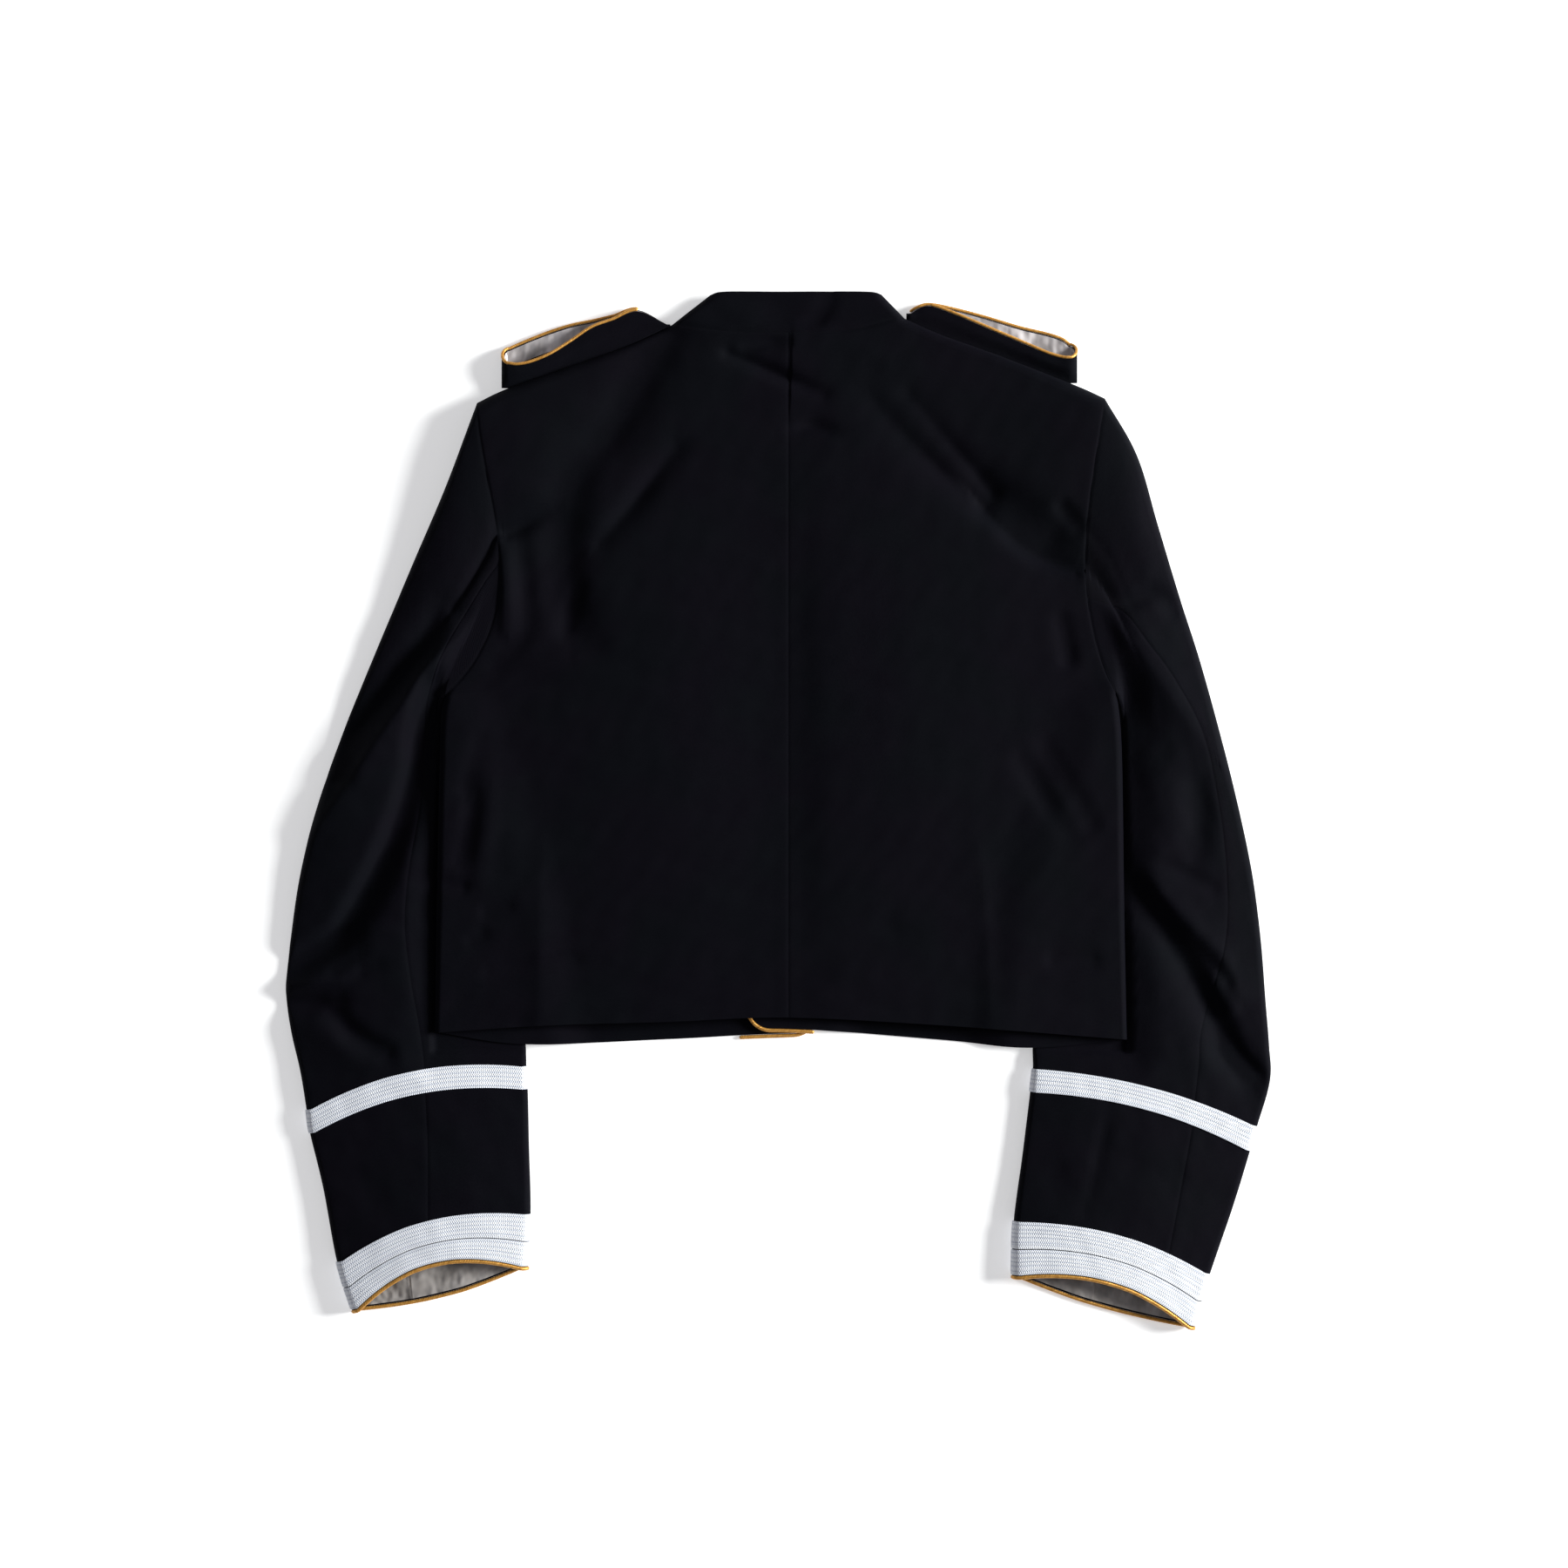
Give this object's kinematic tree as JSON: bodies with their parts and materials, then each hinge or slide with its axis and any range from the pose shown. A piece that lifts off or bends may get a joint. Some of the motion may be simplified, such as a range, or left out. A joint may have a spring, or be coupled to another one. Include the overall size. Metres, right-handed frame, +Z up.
{
  "type": "napoleon jacket",
  "caption": "Cropped military-style jacket laid flat on its front, with a stand collar, shoulder loops, braided cuffs and gold piping.",
  "frame": {"origin": "on the surface that the jacket lies on, under the middle of its outline", "axes": "+X towards the wearer's right side, +Y towards the collar, +Z up out of the jacket's back"},
  "size_m": [0.6768, 0.7133, 0.0182],
  "materials": {
    "black_twill": "fine matt twill",
    "white_braid": "woven flat braid",
    "gold_cord": "twisted metallic cord",
    "grey_satin": "satin"
  },
  "bodies": {
    "root": {"back_left": "black_twill", "back_right": "black_twill", "braid_cuff_lower_left": "white_braid", "braid_cuff_lower_right": "white_braid", "braid_cuff_upper_left": "white_braid", "braid_cuff_upper_right": "white_braid", "braid_forearm_left": "white_braid", "braid_forearm_right": "white_braid", "collar": "black_twill", "cuff_cord_left": "gold_cord", "cuff_cord_right": "gold_cord", "cuff_lining_left": "grey_satin", "cuff_lining_right": "grey_satin", "front_cord_left": "gold_cord", "front_cord_right": "gold_cord", "front_left": "black_twill", "front_right": "black_twill", "loop_cord_left": "gold_cord", "loop_cord_right": "gold_cord", "loop_lining_left": "grey_satin", "loop_lining_right": "grey_satin", "shoulder_loop_left": "black_twill", "shoulder_loop_right": "black_twill", "top_sleeve_left": "black_twill", "top_sleeve_right": "black_twill", "under_sleeve_left": "black_twill", "under_sleeve_right": "black_twill"}
  },
  "joints": []
}
